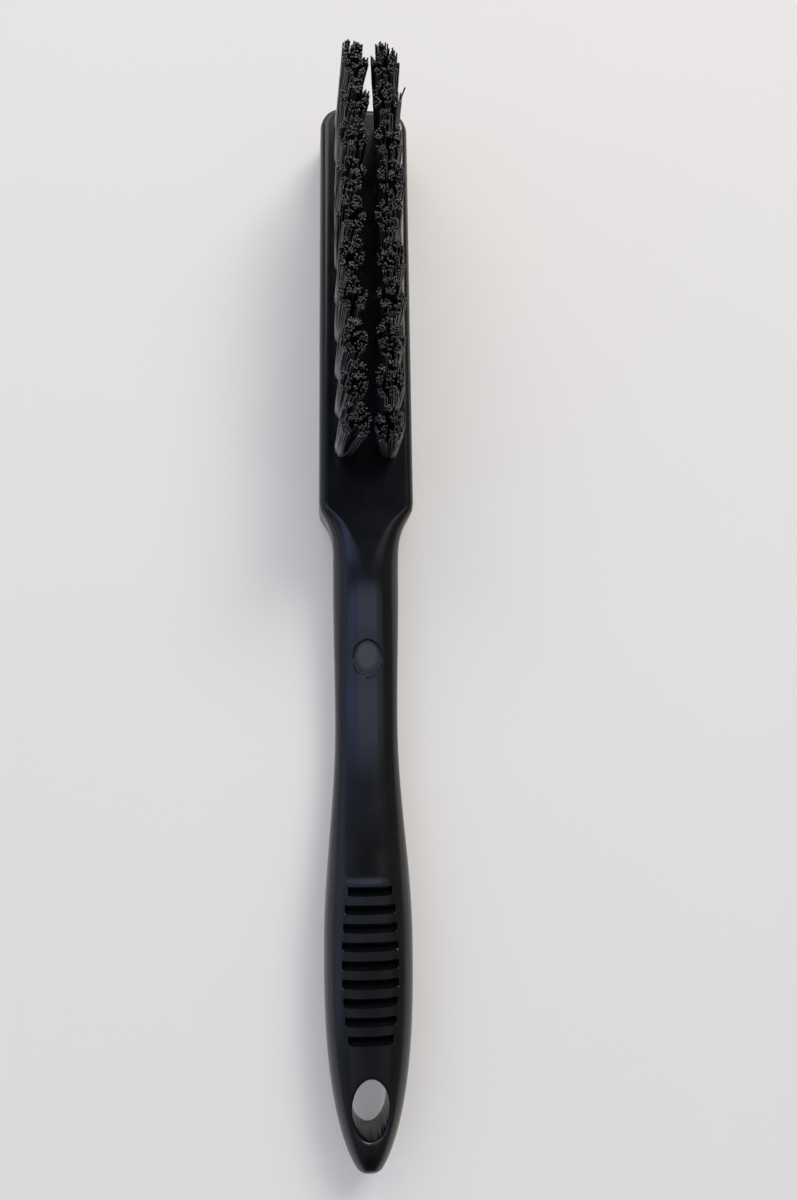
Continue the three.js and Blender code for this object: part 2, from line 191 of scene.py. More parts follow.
# The pale colour mixed in here is the painted reflection on the floor of the mark.
shade = add(tree, "MixRGB", {
    "Fac": painted_reflection.outputs["Result"], "Color1": tint.outputs["Color"], "Color2": linear("#38393b"),
})
gloss = add(tree, "MapRange", {
    "Value": cloud.outputs["Fac"],
    "From Min": CLOUD_RANGE[0],
    "From Max": CLOUD_RANGE[1],
    "To Min": SATIN[0],
    "To Max": SATIN[1],
})
scuffed = add(tree, "Math", {
    0: scuffs.outputs["Result"], 1: SCUFF_ROUGHNESS, 2: gloss.outputs["Result"],
}, operation="MULTIPLY_ADD")
skin = add(tree, "Bump", {
    "Height": grain.outputs["Fac"], "Strength": GRAIN_STRENGTH, "Distance": GRAIN_DEPTH * MM,
})
plastic = add(tree, "BsdfPrincipled", {
    "Base Color": shade.outputs["Color"],
    "Roughness": scuffed.outputs["Value"],
    "IOR": PLASTIC_IOR,
    "Normal": skin.outputs["Normal"],
})
tree.links.new(plastic.outputs["BSDF"], output.inputs["Surface"])
print("material", moulded_plastic.name, "with", len(tree.nodes), "nodes")

# %% [markdown]
# ## The handle
# The moulding starts as a flat bar, the head. Its flat face runs out in a V into a round neck, which
# swells to the thumb grip and tapers to the tail. Its skin is a stack of cross-sections, each a
# rectangle with four elliptical corners. Where the corners are as large as the section it is round,
# and where they are small it is the flat bar. A subdivided box would be quicker to draw, but it
# rounds every edge and meets no given size. Here a formula gives the section at any distance from
# the tail, so the rings can be as close together as a detail needs.

# %% Sizes of the handle, in millimetres
body_low, body_high = (Vector(corner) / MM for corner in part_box("handle_body"))
TOTAL_LENGTH = body_high.y - body_low.y
HEAD_WIDTH = body_high.x - body_low.x
GRIP_THICKNESS = body_high.z

HEAD_LENGTH = 93.8
HEAD_TAPER = 0.4  # how much narrower the head is at its end
HEAD_THICKNESS = 12
HEAD_EDGE_RADIUS = 2
HEAD_CORNER_RADIUS = 5
SHOULDER_LENGTH = 9.7
SHOULDER_POWER = 2.6  # the higher, the later the neck flares out to the head
SHOULDER_ROUNDING = 1  # how much width the rounded corner of the shoulder takes up
RUNOUT_LENGTH = 14
RUNOUT_EASE = 0.35  # share of the run-out in which the flat face starts
NECK_ROOT_WIDTH = 13.9
NECK_WIDTH = 13
NECK_THICKNESS = 9
NECK_LIFT = 0.8  # above the table
NECK_PLACE = 0.57  # of the way from the widest point of the grip to the run-out
DIP_PLACE = 0.62  # lowest place of the crest, measured the same way
ROUND_STRIP = 1  # flat left along the crest, the belly and the sides of the round part
GRIP_WIDTH = 17.7
GRIP = 43  # widest point of the grip, from the tail
CREST = GRIP + 13  # where the slope up from the neck ends, from the tail
CREST_ROUNDING = 0.25  # how much height the rounded end of that slope takes up
TAIL_THICKNESS = 10.5
TAIL_LIFT = 0.4
TAIL_POWER = 2.6  # the higher, the fuller the outline of the tail
TAIL_TAPER = 0.59  # the higher, the more pointed its end
NOSE_POWER = 10  # the higher, the later its thickness goes down
NOSE_CUT = 1  # how far past the end the outline would close
NOSE_ROUND = 1.5  # length of the rounding at the very end
NOSE_FLAT = 0.1  # what the rounding leaves flat

SHOULDER = TOTAL_LENGTH - HEAD_LENGTH
RUNOUT = SHOULDER - RUNOUT_LENGTH
NECK = GRIP + (RUNOUT - GRIP) * NECK_PLACE
DIP = GRIP + (RUNOUT - GRIP) * DIP_PLACE
HEAD_CORNER = TOTAL_LENGTH - HEAD_CORNER_RADIUS
TAIL_END = body_low.y
print("handle", round(TOTAL_LENGTH, 1), "mm long, head", round(HEAD_WIDTH, 1), "mm wide")


# %% The cross-section at any distance from the tail
def blend(start, end, share):
    """A share of the way from start to end."""
    return start + (end - start) * share


def ramp(low, high, value):
    """0 up to low, 1 from high on, and straight between them."""
    return np.clip((value - low) / (high - low), 0, 1)


def ease(share):
    """0 to 1 with a soft start and a soft end."""
    return share ** 2 * (3 - 2 * share)


def gentle(share, start):
    """0 to 1 in a straight line, after a rounded start that takes up a given part of the way."""
    bent = np.where(share < start, share ** 2 / (2 * start), share - start / 2)
    return bent / (1 - start / 2)


def soft_least(first, second, width):
    """The lesser of two values, rounded off where they differ by less than width."""
    overlap = np.maximum(0, width - np.abs(first - second))
    return np.minimum(first, second) - overlap ** 2 / (4 * width)


def cross_section(along):
    """Half width, bottom, top and the corners' radii across and up, at distances from the tail."""
    reach = np.clip((GRIP - along) / (GRIP + NOSE_CUT), 0, 1)
    to_neck = ease(ramp(GRIP, NECK, along))
    to_root = ease(ramp(NECK, RUNOUT, along))
    swell = np.maximum(0, 1 - (SHOULDER - along) / SHOULDER_LENGTH) ** SHOULDER_POWER
    into_corner = np.maximum(0, along - HEAD_CORNER)
    into_edge = np.maximum(0, along - (TOTAL_LENGTH - HEAD_EDGE_RADIUS))
    inset = HEAD_CORNER_RADIUS - np.sqrt(HEAD_CORNER_RADIUS ** 2 - into_corner ** 2)
    drop = HEAD_EDGE_RADIUS - np.sqrt(HEAD_EDGE_RADIUS ** 2 - into_edge ** 2)

    nose = np.sqrt(1 - (np.maximum(0, NOSE_ROUND - along) / (NOSE_ROUND + NOSE_FLAT)) ** 2)
    half = GRIP_WIDTH / 2 * (1 - reach ** TAIL_POWER) ** TAIL_TAPER * nose
    half = blend(half, NECK_WIDTH / 2, to_neck)
    half = blend(half, NECK_ROOT_WIDTH / 2, to_root)
    flare = blend(half, HEAD_WIDTH / 2, swell)
    head_side = (HEAD_WIDTH - HEAD_TAPER * ramp(SHOULDER, HEAD_CORNER, along)) / 2
    half = soft_least(flare, head_side, SHOULDER_ROUNDING) - inset

    middle = blend(GRIP_THICKNESS / 2, TAIL_LIFT + TAIL_THICKNESS / 2, reach ** 2)
    rise = blend(GRIP_THICKNESS, TAIL_THICKNESS, reach ** 2) / 2
    rise = rise * np.sqrt(1 - reach ** NOSE_POWER) * nose
    bottom = blend(blend(middle - rise, NECK_LIFT, to_neck), 0, to_root) + drop
    climb = np.maximum(0, DIP - along) / (DIP - CREST)
    top = blend(NECK_LIFT + NECK_THICKNESS, GRIP_THICKNESS, climb ** 2)
    top = blend(top, HEAD_THICKNESS, ease(ramp(DIP, RUNOUT, along)))
    top = soft_least(top, middle + rise, CREST_ROUNDING) - drop

    flatten = gentle(ramp(RUNOUT, SHOULDER, along), RUNOUT_EASE)
    tall = (top - bottom) / 2
    across = blend(half - np.minimum(ROUND_STRIP, half) / 2, HEAD_EDGE_RADIUS, flatten)
    up = blend(tall - np.minimum(ROUND_STRIP, tall) / 2, HEAD_EDGE_RADIUS, flatten)
    return half, bottom, top, across, up


for name, distance in {"grip": GRIP, "neck": NECK}.items():
    half, bottom, top, *_ = cross_section(np.array([distance]))
    print(name, round(2 * half[0], 1), "mm wide and", round(top[0] - bottom[0], 1), "mm thick")

# %% [markdown]
# ### Rings of points
# The skin needs close rings only where the surface has small features: round the hanging hole, over
# the thumb grooves, at the oval mark and at both ends. Each groove gets one ring on its bottom and one
# on each lip, so that its edges come out crisp. Elsewhere the handle is smooth, and wide steps look
# the same. Each ring has more points over the top, where those features are.

# %% Distances of the rings from the tail, and the points of each ring
HANG_HOLE_WIDTH = 7.2
HANG_HOLE_LENGTH = 11.4
HANG_HOLE = 13.2  # its middle, from the tail
GROOVE_COUNT = 9
GROOVE_PITCH = 3.45
GROOVE_WIDTH = 1.8
GROOVE_DEPTH = 1.5
GROOVE_FIELD = (10.8, 45.6)  # the oval that the grooves end on
GROOVES = GRIP - 3.1  # the middle groove, from the tail
MARK_WIDTH = 6
MARK_LENGTH = 7.8
MARK_DEPTH = 0.55
MARK = NECK + 14.3  # its middle, from the tail
BORDER = 1.5  # fine rings go on this far past a feature
NOSE_RINGS = 36
NOSE_ZONE = 6
CORNER_RINGS = 28
TOP_STEPS = 46
BELLY_STEPS = 16
TOP_STRIP_STEPS = 8
STRIP_STEPS = 4

from_middle = GROOVE_PITCH * (np.arange(GROOVE_COUNT) - (GROOVE_COUNT - 1) / 2)
groove_edges = GROOVES + from_middle[:, None] + GROOVE_WIDTH / 2 * np.array([-1, 0, 1])
zones = [  # where each zone ends, and the step between its rings
    (HANG_HOLE + HANG_HOLE_LENGTH / 2 + BORDER, 0.16),
    *((edge, 0.23) for edge in groove_edges.ravel()),
    (CREST + BORDER, 0.3),
    (MARK - MARK_LENGTH / 2 - BORDER, 0.9),
    (MARK + MARK_LENGTH / 2 + BORDER, 0.18),
    (RUNOUT, 0.8),
    (SHOULDER, 0.35),
    (HEAD_CORNER, 1.6),
]
stations = [NOSE_ZONE * (ring / NOSE_RINGS) ** 2 for ring in range(NOSE_RINGS + 1)]
for zone_end, spacing in zones:
    count = max(1, round((zone_end - stations[-1]) / spacing))
    stations.extend(np.linspace(stations[-1], zone_end, count + 1)[1:])
for ring in range(1, CORNER_RINGS + 1):
    turn = math.pi / 2 * ring / CORNER_RINGS
    stations.append(HEAD_CORNER + HEAD_CORNER_RADIUS * math.sin(turn))
stations = np.array(stations)


def ring_points(along):
    """Points of the rings, from the right side over the top: stations by points by x, y, z."""
    half, bottom, top, across, up = (values[:, None] for values in cross_section(along))
    quarters = [
        (1, top - up, TOP_STEPS, TOP_STRIP_STEPS),
        (-1, top - up, TOP_STEPS, STRIP_STEPS),
        (-1, bottom + up, BELLY_STEPS, STRIP_STEPS),
        (1, bottom + up, BELLY_STEPS, STRIP_STEPS),
    ]
    arcs = []
    for quarter, (side, level, steps, _) in enumerate(quarters):
        turn = math.pi / 2 * (quarter + np.linspace(0, 1, steps + 1))
        x = side * (half - across) + across * np.cos(turn)
        z = level + up * np.sin(turn)
        arcs.append(np.stack([x, np.broadcast_to(along[:, None] + TAIL_END, x.shape), z], axis=2))
    ring = []
    for quarter, (_, _, _, steps) in enumerate(quarters):
        start = arcs[quarter][:, -1:]
        end = arcs[(quarter + 1) % 4][:, :1]
        share = np.arange(1, steps)[None, :, None] / steps
        ring.extend([arcs[quarter], blend(start, end, share)])
    return np.concatenate(ring, axis=1)


rings = ring_points(stations)
print(rings.shape[0], "rings of", rings.shape[1], "points")

# %% [markdown]
# ### Grooves, mark and rim pressed into the skin
# The thumb grooves are V-shaped, and steep enough for each wall to mirror only the other one. That is
# why they read as dark bars. No cutting is needed for them: where a groove lies, the points of the
# rings are lowered, most in its middle and not at all at its lips. The grooves end on an oval, so the
# middle ones come out longest. The plain mark on the neck is an oval floor that follows the crest, and
# the lips of the hanging hole bend down along a quarter circle. A fine ridge along both sides is the
# line where the mould closed.

# %% Press the details into the rings
GROOVE_END = 0.3  # width of the wall at each end of a groove
MARK_WALL = 0.05  # share of the mark's half size
FLOOR_BLEND = 0.2  # how softly the floor of the mark meets the crest
RIM_RADIUS = 0.9
NOT_ZERO = 0.01  # keeps the divisions at the middle of the hole safe
SEAM_HEIGHT = 0.06  # of the line where the halves of the mould met


def inside(distance, reach, wall):
    """1 well inside reach, 0 well outside, and a smooth wall between."""
    return 1 - ease(ramp(reach - wall / 2, reach + wall / 2, distance))


def above(height):
    """How far a height stands above 0, with a soft start."""
    soft = (height + FLOOR_BLEND) ** 2 / (4 * FLOOR_BLEND)
    return np.where(height > FLOOR_BLEND, height, np.where(height < -FLOOR_BLEND, 0, soft))


x = rings[:, :, 0]
along = rings[:, :, 1] - TAIL_END
z = rings[:, :, 2].copy()
middles = (cross_section(stations)[1] + cross_section(stations)[2])[:, None] / 2
on_top = rings[:, :, 2] > middles

number = np.round((along - GROOVES) / GROOVE_PITCH)
to_middle = np.clip(number, -(GROOVE_COUNT // 2), GROOVE_COUNT // 2) * GROOVE_PITCH
to_groove = np.abs(along - GROOVES - to_middle)
groove_reach = GROOVE_FIELD[0] / 2 * np.sqrt(1 - (2 * to_middle / GROOVE_FIELD[1]) ** 2)
vee = np.maximum(0, 1 - to_groove / (GROOVE_WIDTH / 2))
z -= GROOVE_DEPTH * vee * inside(np.abs(x), groove_reach, GROOVE_END) * on_top

mark_floor = cross_section(stations)[2][:, None] - MARK_DEPTH
to_mark = np.hypot(x / (MARK_WIDTH / 2), (along - MARK) / (MARK_LENGTH / 2))
z -= inside(to_mark, 1, MARK_WALL) * above(z - mark_floor) * on_top

hole_x = x / (HANG_HOLE_WIDTH / 2)
hole_y = (along - HANG_HOLE) / (HANG_HOLE_LENGTH / 2)
scale = np.maximum(np.hypot(hole_x, hole_y), NOT_ZERO)
steepness = np.hypot(hole_x / (HANG_HOLE_WIDTH / 2), hole_y / (HANG_HOLE_LENGTH / 2)) / scale
past_rim = np.clip((scale - 1) / np.maximum(steepness, NOT_ZERO), 0, RIM_RADIUS)
rim_drop = RIM_RADIUS - np.sqrt(RIM_RADIUS ** 2 - (RIM_RADIUS - past_rim) ** 2)
z += np.where(on_top, -rim_drop, rim_drop)
rings[:, :, 2] = z

right_seam = rings.shape[1] - STRIP_STEPS // 2
left_seam = 2 * (TOP_STEPS + 1) + TOP_STRIP_STEPS - 1 + STRIP_STEPS // 2 - 1
rings[:, right_seam, 0] += SEAM_HEIGHT
rings[:, left_seam, 0] -= SEAM_HEIGHT
print("grooves", GROOVE_DEPTH, "mm deep, mark", MARK_DEPTH, "mm deep")

# %% [markdown]
# ### Skin, bores and shading
# Quads join the rings, and one flat face closes each end. The twenty tuft holes and the hanging
# hole go right into the material, so they are real cuts. The Manifold solver of the Boolean modifier
# is fast and exact on such closed meshes. At the end, faces are shaded smooth except across edges
# that are really sharp.

# %% Skin over the rings
def mesh_object(name, points_mm, faces):
    """A new object in the scene, from points in mm and the faces between them."""
    mesh = bpy.data.meshes.new(name)
    mesh.from_pydata(points_mm * MM, [], faces)
    mesh.validate()
    made = bpy.data.objects.new(name, mesh)
    scene.collection.objects.link(made)
    return made


def tube_faces(ring_count, sides):
    """Quads between rings of points, with a flat face on both ends."""
    row = np.arange(ring_count - 1)[:, None] * sides
    here = np.arange(sides)[None, :]
    after = (here + 1) % sides
    quads = np.stack([row + here, row + sides + here, row + sides + after, row + after], axis=2)
    last = (ring_count - 1) * sides
    start_face = list(range(sides))
    end_face = list(range(last + sides - 1, last - 1, -1))
    return [*quads.reshape(-1, 4).tolist(), start_face, end_face]


handle = mesh_object("moulded_handle", rings.reshape(-1, 3), tube_faces(*rings.shape[:2]))
print("skin of", len(handle.data.polygons), "faces")

# %% Where the tufts stand, from the frame
TUFT_DIAMETER = 4.3
HOLE_FLOOR = 3  # plastic left under a tuft hole
ROW_SPACING = 9.4  # between the holes of the two rows, in the face of the head
SIDES = {"left": -1, "right": 1}


def tuft_axis(row, number):
    """Point in the head's face and direction of one tuft hole, from the place of its anchor."""
    low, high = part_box(f"tuft_anchor_{row}_{number}")
    anchor = (low + high) / 2 / MM
    mouth = Vector((SIDES[row] * ROW_SPACING / 2, anchor.y, HEAD_THICKNESS))
    return mouth, (mouth - anchor).normalized()


tufts = {row: [] for row in SIDES}
for row, places in tufts.items():
    while f"tuft_anchor_{row}_{len(places) + 1}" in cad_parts:
        places.append(tuft_axis(row, len(places) + 1))
print("tufts:", {row: len(places) for row, places in tufts.items()})

# %% Cut the bores
BORE_SIDES = 40
HOLE_SIDES = 96
OVERSHOOT = 1  # how far the cutter of a tuft hole stands out of the face
SCAR_WIDTH = 1.1
SCAR_LENGTH = 5.9
SCAR_BOTTOM = -7.5  # along the hole, measured up from the face of the head
SCAR_TOP = -0.5


def axis_frame(mouth, direction):
    """Matrix whose z axis runs up a tuft hole and whose y axis is the brush's own."""
    along_row = Vector((0, 1, 0))
    turn = Matrix((along_row.cross(direction), along_row, direction)).transposed()
    return Matrix.Translation(mouth) @ turn.to_4x4()


def cut(piece, fill):
    """Take a solid away from a piece. The function fill puts that solid into a bmesh, in mm."""
    shape = bmesh.new()
    fill(shape)
    bmesh.ops.scale(shape, vec=(MM, MM, MM), verts=shape.verts)
    cutter = bpy.data.objects.new("cutter", bpy.data.meshes.new("cutter"))
    shape.to_mesh(cutter.data)
    shape.free()
    scene.collection.objects.link(cutter)
    bite = piece.modifiers.new("bite", "BOOLEAN")
    bite.object = cutter
    bite.operation = "DIFFERENCE"
    bite.solver = "MANIFOLD"
    whole = piece.data
    bitten = piece.evaluated_get(bpy.context.evaluated_depsgraph_get())
    piece.data = bpy.data.meshes.new_from_object(bitten)
    piece.modifiers.clear()
    bpy.data.meshes.remove(whole)
    bpy.data.meshes.remove(cutter.data)


def fill_bores(shape):
    """The tuft holes and the hanging hole."""
    for mouth, direction in tufts["left"] + tufts["right"]:
        depth = (HEAD_THICKNESS - HOLE_FLOOR) / direction.z
        middle = Matrix.Translation((0, 0, (OVERSHOOT - depth) / 2))
        bmesh.ops.create_cone(
            shape, cap_ends=True, segments=BORE_SIDES, depth=depth + OVERSHOOT,
            radius1=TUFT_DIAMETER / 2, radius2=TUFT_DIAMETER / 2,
            matrix=axis_frame(mouth, direction) @ middle,
        )
    lengthen = Matrix.Diagonal((HANG_HOLE_WIDTH / 2, HANG_HOLE_LENGTH / 2, 1, 1))
    bmesh.ops.create_cone(
        shape, cap_ends=True, segments=HOLE_SIDES, radius1=1, radius2=1, depth=4 * GRIP_THICKNESS,
        matrix=Matrix.Translation((0, TAIL_END + HANG_HOLE, 0)) @ lengthen,
    )


def fill_scars(shape):
    """The slots that the anchors cut into the walls of their holes."""
    for mouth, direction in tufts["left"] + tufts["right"]:
        size = Matrix.Diagonal((SCAR_WIDTH, SCAR_LENGTH, SCAR_TOP - SCAR_BOTTOM, 1))
        middle = Matrix.Translation((0, 0, (SCAR_TOP + SCAR_BOTTOM) / 2))
        bmesh.ops.create_cube(shape, size=1, matrix=axis_frame(mouth, direction) @ middle @ size)


cut(handle, fill_bores)
cut(handle, fill_scars)
print("handle after the cuts:", len(handle.data.polygons), "faces")

# %% Shade, dress and seat the handle
SHARP = math.radians(38)

handle.data.shade_smooth()
handle.data.set_sharp_from_angle(angle=SHARP)
handle.data.materials.clear()
handle.data.materials.append(moulded_plastic)
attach(handle, "root")
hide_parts("handle_body")
print(handle.name, "takes the place of handle_body")

# %% [markdown]
# ## Filament material: carbon-loaded nylon, drawn
# The filaments are nylon loaded with carbon and drawn thin. Drawing leaves a smooth black skin with a
# silky gleam. On the outer side of each row a painted sheen makes the roots pale, where the side light
# falls. Paint on the mesh could show that, but a number at each of its points does it exactly, and an
# Attribute node reads it. The trimmed ends are torn rather than polished: they scatter light, and
# patches of them show as pale spots.

# %% Carbon-loaded nylon, and its trimmed ends
NYLON_IOR = 1.53
DRAW_STREAK = 0.3  # mm
SILKY = (0.26, 0.4)  # roughness from one streak to the next
CLUMP_SPOT = 1.2  # mm
SPOT_RANGE = (0.5, 0.75)  # values of the noise from dark ends to pale ones
TORN_ROUGHNESS = 0.6

drawn_nylon, tree, output = new_material("carbon_loaded_nylon_drawn")
place = add(tree, "TexCoord")
strand = add(tree, "NewGeometry")
streaks = add(tree, "TexNoise", {
    "Vector": place.outputs["Object"], "Scale": per_metre(DRAW_STREAK), "Detail": 1,
})
tint = add(tree, "ValToRGB", {"Fac": strand.outputs["Random Per Island"]})
tint.color_ramp.elements[0].color = linear("#1b1c1e")
tint.color_ramp.elements[1].color = linear("#2e2f32")
# Painted sheen: an attribute mixes a pale colour into the roots on the outer side of each row.
painted_sheen = add(tree, "Attribute", attribute_name="painted_sheen")
shade = add(tree, "MixRGB", {
    "Fac": painted_sheen.outputs["Fac"], "Color1": tint.outputs["Color"], "Color2": linear("#c6c4bf"),
})
gloss = add(tree, "MapRange", {
    "Value": streaks.outputs["Fac"], "To Min": SILKY[0], "To Max": SILKY[1],
})
nylon = add(tree, "BsdfPrincipled", {
    "Base Color": shade.outputs["Color"], "Roughness": gloss.outputs["Result"], "IOR": NYLON_IOR,
})
tree.links.new(nylon.outputs["BSDF"], output.inputs["Surface"])

trimmed_nylon, tree, output = new_material("carbon_loaded_nylon_trimmed")
place = add(tree, "TexCoord")
spots = add(tree, "TexNoise", {
    "Vector": place.outputs["Object"], "Scale": per_metre(CLUMP_SPOT), "Detail": 1,
})
tint = add(tree, "ValToRGB", {"Fac": spots.outputs["Fac"]})
tint.color_ramp.elements[0].position = SPOT_RANGE[0]
tint.color_ramp.elements[0].color = linear("#17181a")
tint.color_ramp.elements[1].position = SPOT_RANGE[1]
tint.color_ramp.elements[1].color = linear("#626367")
torn = add(tree, "BsdfPrincipled", {
    "Base Color": tint.outputs["Color"], "Roughness": TORN_ROUGHNESS, "IOR": NYLON_IOR,
})
tree.links.new(torn.outputs["BSDF"], output.inputs["Surface"])
print("materials", drawn_nylon.name, "and", trimmed_nylon.name)

# %% [markdown]
# ## The tufts
# A machine folds a bundle of cut filaments in two over a piece of flat wire and punches it into the
# hole. So each filament is a hairpin: down on one side of the anchor, under it, and up on the other
# side. A hair particle system would draw strands quickly, but they would have no thickness of their
# own and no fold. Here every hairpin is a thin tube along its own path, all worked out at once with
# arrays of numbers. The tips cling together in small clumps, so the trimmed face of a tuft looks like
# a rosette.

# %% Paths of the filaments of one tuft
FILAMENTS = 80  # hairpins in a tuft, each of two legs
FILAMENT_DIAMETER = 0.36  # real ones are about half that, too fine and too many to draw
TRIM_LENGTH = 19.4
TIP_WIDTH = 6.2  # of the trimmed end of a tuft, across its row
TIP_LENGTH = 8.6  # and along it
ANCHOR_BOTTOM = -7.2  # along the hole, measured up from the face of the head
ANCHOR_HALF = 0.25  # half the thickness of the wire
FOLD_DEPTH = 1.2  # from the innermost fold to the outermost
FOLD_STEPS = 5
CLUMPS = 14  # the tips of a tuft cling together in about so many
CLING = 0.34  # how far a tip is drawn to the middle of its clump
ASKEW = 0.12  # how far a clump strays from its even place
WANDER = 0.1  # how far a tip strays from its clump
TRIM_SPREAD = 0.35  # how far an end is above or below the trim
SPLAY = 0.85  # under 1, so that the legs part most just above the hole
LEG_HEIGHTS = np.array([1, 0.93, 0.7, 0.45, 0.2, 0.03, -0.1])  # of the trim length, down to the hole
GOLDEN_ANGLE = math.pi * (3 - math.sqrt(5))  # a sunflower's turn, which fills a circle evenly
SEED = 11

draw = np.random.default_rng(SEED)


def leg_places():
    """Places of the legs on one side of the anchor, across and along, within a circle of radius 1."""
    seeds = np.arange(4 * FILAMENTS)
    spread = np.sqrt((seeds + 0.5) / len(seeds))
    across = spread * np.cos(seeds * GOLDEN_ANGLE)
    along_row = spread * np.sin(seeds * GOLDEN_ANGLE)
    right = np.flatnonzero(across > 0)
    chosen = right[np.linspace(0, len(right) - 1, FILAMENTS).astype(int)]
    return np.stack([across[chosen], along_row[chosen]], axis=1)


def even_tips(places, side):
    """Places of the tips of the legs on one side, spread evenly over the trimmed end."""
    return places * [side * TIP_WIDTH / 2, TIP_LENGTH / 2]


def clump_middles(places):
    """Middles of the clumps of one tuft, and where they have strayed to."""
    tips = np.concatenate([even_tips(places, -1), even_tips(places, 1)])
    middles = tips[draw.choice(len(tips), CLUMPS, replace=False)]
    return middles, middles + draw.normal(0, ASKEW, middles.shape)


def clumped(tips, middles, strayed):
    """Tips drawn towards the middle of the clump that they cling to."""
    nearest = np.argmin(np.linalg.norm(tips[:, None] - middles, axis=2), axis=1)
    return blend(tips, strayed[nearest], CLING) + draw.normal(0, WANDER, tips.shape)


def leg_path(places, side, lean, clumps):
    """Points of the legs on one side of the anchor, from the tip down, in the frame of the hole."""
    reach = TUFT_DIAMETER / 2 - FILAMENT_DIAMETER / 2
    root = places * [side * reach, reach]
    tip = clumped(even_tips(places, side), *clumps) + lean
    bow = draw.normal(0, WANDER, tip.shape)
    height = TRIM_LENGTH + draw.uniform(-TRIM_SPREAD, TRIM_SPREAD, len(places))
    rise = LEG_HEIGHTS[None, :] * height[:, None]
    share = np.clip(LEG_HEIGHTS, 0, 1)[None, :, None]
    flat = blend(root[:, None], tip[:, None], share ** SPLAY)
    flat = flat + bow[:, None] * np.sin(math.pi * share)
    return np.concatenate([flat, rise[:, :, None]], axis=2)


def fold_path(places):
    """Points of the folds, from the left of the anchor under it to the right."""
    reach = TUFT_DIAMETER / 2 - FILAMENT_DIAMETER / 2
    out = places[:, :1] * reach
    turn = np.linspace(math.pi, 0, FOLD_STEPS)[None, :]
    x = np.maximum(out, ANCHOR_HALF + FILAMENT_DIAMETER / 2) * np.cos(turn)
    y = np.broadcast_to(places[:, 1:] * reach, x.shape)
    z = ANCHOR_BOTTOM - (FILAMENT_DIAMETER / 2 + FOLD_DEPTH * places[:, :1]) * np.sin(turn)
    return np.stack([x, y, z], axis=2)


def tuft_paths(mouth, direction, lean):
    """Hairpin paths of one tuft, in mm in the brush's frame: filaments by points by x, y, z."""
    places = leg_places()
    lean = lean + draw.normal(0, ASKEW, 2)
    clumps = clump_middles(places)
    left = leg_path(places, -1, lean, clumps)
    right = leg_path(places, 1, lean, clumps)
    local = np.concatenate([left, fold_path(places), right[:, ::-1]], axis=1)
    turn = np.array(axis_frame(mouth, direction))
    return local @ turn[:3, :3].T + turn[:3, 3]


print("a tuft has", len(leg_places()), "hairpins, and its tips cling together in", CLUMPS, "clumps")

# %% [markdown]
# ### Rows
# The end tufts fan out along the head, and use has bowed the rows a little apart in the middle. One
# filament near the end of the right row has sprung out of its tuft. Every hairpin becomes a tube
# with five sides, and the flat faces on its two ends get the material of the trimmed tips.

# %% Tubes along the paths, and both rows
FILAMENT_SIDES = 5
FILAMENT_SHARP = math.radians(80)
FAN_REACH = 1.1  # how far the end tufts lean out along the head
BOW_MIDDLE = 0.6  # how far the middle tufts lean away from the other row
BOW_ENDS = -0.1  # the end tufts lean towards it
BOW_ZONE = (0.25, 0.8)  # where the bow ends, as shares of the way from the middle of the row
PAINTED_SHEEN_REACH = (0.1, 0.6)  # painted sheen from black to pale, as shares of the way out from the middle of a tuft
PAINTED_SHEEN_FADE = (0.15, 0.6)  # painted sheen from pale to black, as shares of the trim length
STRAY_TUFT = 1  # counted from 0, as arrays are
STRAY_FILAMENT = 40
STRAY_REACH = np.array([2.8, 2.4, -2])  # how far its tip has moved


def filament_tubes(paths):
    """Points and faces of one tube along each path, and which faces are trimmed ends."""
    count, steps, _ = paths.shape
    heading = np.gradient(paths, axis=1)
    heading /= np.linalg.norm(heading, axis=2, keepdims=True)
    first = np.cross(heading, [0, 1, 0])
    first /= np.linalg.norm(first, axis=2, keepdims=True)
    second = np.cross(heading, first)
    turn = 2 * math.pi * np.arange(FILAMENT_SIDES) / FILAMENT_SIDES
    ring = first[:, :, None] * np.cos(turn)[:, None] + second[:, :, None] * np.sin(turn)[:, None]
    points = paths[:, :, None] + ring * FILAMENT_DIAMETER / 2
    pattern = tube_faces(steps, FILAMENT_SIDES)
    faces = []
    for number in range(count):
        offset = number * steps * FILAMENT_SIDES
        faces.extend([[corner + offset for corner in reversed(face)] for face in pattern])
    is_end = np.tile(np.arange(len(pattern)) >= len(pattern) - 2, count)
    return points.reshape(-1, 3), faces, is_end


def row_paths(row):
    """Hairpin paths of all the tufts of one row."""
    places = tufts[row]
    middle = np.mean([mouth.y for mouth, _ in places])
    span = max(mouth.y for mouth, _ in places) - middle
    paths = []
    for mouth, direction in places:
        share = (mouth.y - middle) / span
        bow = SIDES[row] * blend(BOW_MIDDLE, BOW_ENDS, ease(ramp(*BOW_ZONE, abs(share))))
        paths.append(tuft_paths(mouth, direction, np.array([bow, FAN_REACH * share])))
    return np.stack(paths)


def painted_sheen_share(row):
    """How far the points of each filament of a tuft get the painted sheen, pale on the outer side of
    its row.
    """
    outwards = SIDES[row] * leg_places()[:, :1]
    fade = 1 - ramp(*PAINTED_SHEEN_FADE, LEG_HEIGHTS)
    left = ramp(*PAINTED_SHEEN_REACH, -outwards) * fade
    right = ramp(*PAINTED_SHEEN_REACH, outwards) * fade
    return np.concatenate([left, np.zeros((FILAMENTS, FOLD_STEPS)), right[:, ::-1]], axis=1)


